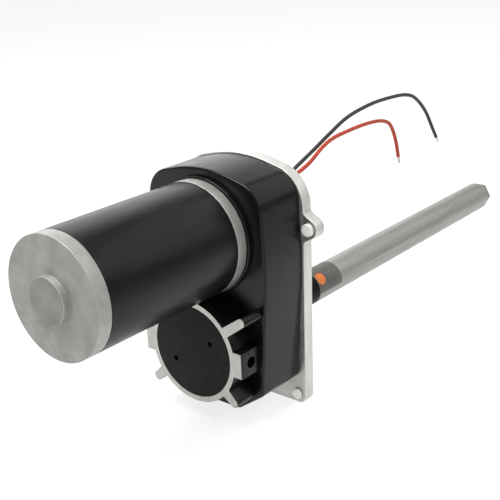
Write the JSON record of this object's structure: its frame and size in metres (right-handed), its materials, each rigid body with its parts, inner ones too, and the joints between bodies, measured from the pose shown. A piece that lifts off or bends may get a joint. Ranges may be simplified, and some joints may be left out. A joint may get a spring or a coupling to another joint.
{
  "type": "linear actuator",
  "caption": "Parallel-drive electric linear actuator: DC motor beside a lead screw, gear case with trunnion pads, mounting plate and a slim steel cover tube.",
  "frame": {"origin": "centre of the black bearing cap's outer face, on the screw axis, level with the machined rear face of the bearing housing", "axes": "+X along the screw axis, the way the rod extends; +Z towards the motor; +Y to the left seen from behind the motor"},
  "size_m": [0.5368, 0.1256, 0.1916],
  "materials": {
    "black_paint": "satin black paint",
    "cap_black": "matt black",
    "plate_aluminium": "machined",
    "cast_aluminium": "as cast",
    "screw_steel": "zinc plated",
    "bearing_steel": "ground",
    "gear_steel": "machined",
    "winding_copper": "enamelled copper",
    "bronze": "machined bronze",
    "magnet_ferrite": "ferrite",
    "brush_carbon": "carbon",
    "insulation_board": "laminated board",
    "tube_steel": "drawn, lightly streaked",
    "collar_black": "black anodised",
    "rubber_black": "moulded",
    "lead_black": "insulation",
    "lead_red": "insulation",
    "tinned_copper": "tinned strands"
  },
  "bodies": {
    "housing": {"gear_case": "black_paint", "motor_can": "black_paint", "bearing_cap": "cap_black", "mounting_plate": "plate_aluminium", "motor_rear_bell": "cast_aluminium", "motor_front_bell": "cast_aluminium", "ear_screw_left": "screw_steel", "ear_screw_right": "screw_steel", "corner_screw_left": "screw_steel", "corner_screw_right": "screw_steel", "motor_screw_left": "screw_steel", "motor_screw_right": "screw_steel", "cover_screw_upper_left": "screw_steel", "cover_screw_upper_right": "screw_steel", "cover_screw_lower_left": "screw_steel", "cover_screw_lower_right": "screw_steel", "screw_bearing_rear": "bearing_steel", "screw_bearing_front": "bearing_steel", "motor_bearing_rear": "bearing_steel", "motor_bearing_front": "bearing_steel", "idler_axle": "gear_steel", "rod_bushing": "bronze", "magnet_left": "magnet_ferrite", "magnet_right": "magnet_ferrite", "brush_left": "brush_carbon", "brush_right": "brush_carbon", "brush_holder": "insulation_board", "cover_tube": "tube_steel", "tube_collar": "collar_black", "grommet": "rubber_black", "lead_black": "lead_black", "inner_lead_black": "lead_black", "lead_red": "lead_red", "inner_lead_red": "lead_red", "strand_black": "tinned_copper", "strand_red": "tinned_copper"},
    "rotor": {"motor_shaft": "gear_steel", "armature_core": "gear_steel", "winding_rear": "winding_copper", "winding_front": "winding_copper", "commutator": "winding_copper", "pinion": "gear_steel"},
    "idler": {"idler_gear": "gear_steel"},
    "screw": {"lead_screw": "gear_steel", "screw_gear": "gear_steel"},
    "rod": {"drive_nut": "bronze", "extension_tube": "tube_steel", "rod_end": "tube_steel"}
  },
  "joints": [
    {"name": "motor_spin", "type": "hinge", "parent": "housing", "child": "rotor", "pos_m": [0, 0, 0.078], "axis": [-1, 0, 0], "range_deg": [0, 73440]},
    {"name": "idler_spin", "type": "hinge", "parent": "housing", "child": "idler", "pos_m": [0.03, 0, 0.0405], "axis": [-1, 0, 0], "range_deg": [-34561, 0]},
    {"name": "screw_spin", "type": "hinge", "parent": "housing", "child": "screw", "pos_m": [0.04, 0, 0], "axis": [-1, 0, 0], "range_deg": [0, 17281]},
    {"name": "rod_slide", "type": "slide", "parent": "housing", "child": "rod", "axis": [1, 0, 0], "range_m": [0, 0.24001]}
  ],
  "couplings": [
    {"joint": "idler_spin", "follows": "motor_spin", "ratio": -0.47059},
    {"joint": "screw_spin", "follows": "motor_spin", "ratio": 0.23529},
    {"joint": "rod_slide", "follows": "motor_spin", "m_per_rad": 0.00018724}
  ]
}
